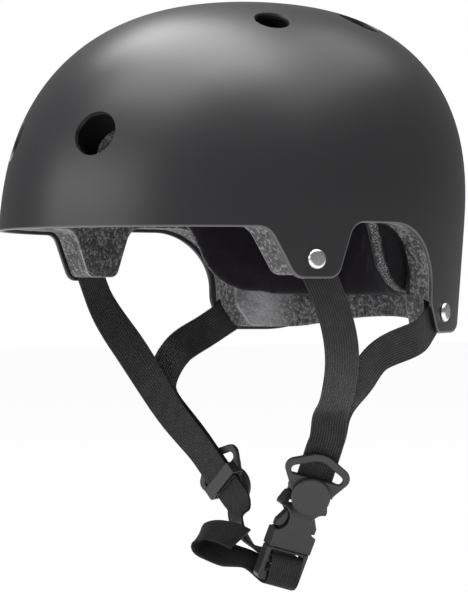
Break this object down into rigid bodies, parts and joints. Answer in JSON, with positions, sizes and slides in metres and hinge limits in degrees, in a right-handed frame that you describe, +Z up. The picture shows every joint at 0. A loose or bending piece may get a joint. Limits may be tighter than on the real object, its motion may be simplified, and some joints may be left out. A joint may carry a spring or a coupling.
{
  "type": "skateboard helmet",
  "caption": "Open-face skateboard helmet: hard round shell, foam liner, fabric pads, riveted side straps and a side-release chin buckle.",
  "frame": {"origin": "middle of the head opening, on the level of the shell's ear arches, just above the brow edge", "axes": "+Z up through the crown, -Y to the wearer's front, +X to the wearer's left"},
  "size_m": [0.233, 0.2775, 0.3326],
  "materials": {
    "shell": "soft-touch satin, near black",
    "foam": "speckled moulded bead foam, dark grey",
    "pad_fabric": "brushed knit over foam, near black",
    "hook_tape": "hook tape",
    "rivet_metal": "bright nickel plate",
    "washer_steel": "plain zinc plate",
    "webbing": "woven polyester, black",
    "divider_plastic": "moulded, fine texture",
    "cap_plastic": "moulded, satin, bare",
    "buckle_plastic": "moulded acetal, satin"
  },
  "bodies": {
    "helmet": {"outer_shell": "shell", "foam_liner": "foam", "brow_pad": "pad_fabric", "temple_pad_left": "pad_fabric", "temple_pad_right": "pad_fabric", "nape_pad": "pad_fabric", "crown_pad": "pad_fabric", "pad_hook_dots": "hook_tape", "strap_rivets": "rivet_metal", "rivet_washers": "washer_steel", "front_strap_left": "webbing", "front_strap_right": "webbing", "rear_strap_left": "webbing", "rear_strap_right": "webbing", "chin_strap_left": "webbing", "chin_strap_right": "webbing", "buckle_socket": "buckle_plastic"},
    "divider_left": {"divider_left": "divider_plastic", "divider_cap_left": "cap_plastic"},
    "divider_right": {"divider_right": "divider_plastic", "divider_cap_right": "cap_plastic"},
    "plug": {"buckle_plug": "buckle_plastic", "strap_tail": "webbing"},
    "prong_rear": {"prong_rear": "buckle_plastic"},
    "prong_front": {"prong_front": "buckle_plastic"}
  },
  "joints": [
    {"name": "buckle_release", "type": "slide", "parent": "helmet", "child": "plug", "axis": [-0.2582, -0.2322, -0.9378], "range_m": [0, 0.028], "deforming": ["chin_strap_right", "prong_rear", "prong_front"]},
    {"name": "prong_rear_press", "type": "hinge", "parent": "plug", "child": "prong_rear", "pos_m": [0.03063, 0.02081, -0.18078], "axis": [0.9586, -0.1823, -0.2188], "range_deg": [0, 6], "stiffness_Nm_per_rad": 0.2},
    {"name": "prong_front_press", "type": "hinge", "parent": "plug", "child": "prong_front", "pos_m": [0.0289, 0.00705, -0.1769], "axis": [0.9586, -0.1823, -0.2188], "range_deg": [-6, 0], "stiffness_Nm_per_rad": 0.2},
    {"name": "divider_left_slide", "type": "slide", "parent": "helmet", "child": "divider_left", "axis": [0.3428, 0.1099, 0.933], "range_m": [0, 0.012], "deforming": ["front_strap_left", "rear_strap_left"]},
    {"name": "divider_right_slide", "type": "slide", "parent": "helmet", "child": "divider_right", "axis": [-0.6601, -0.1738, 0.7308], "range_m": [0, 0.012], "deforming": ["front_strap_right", "rear_strap_right"]}
  ]
}
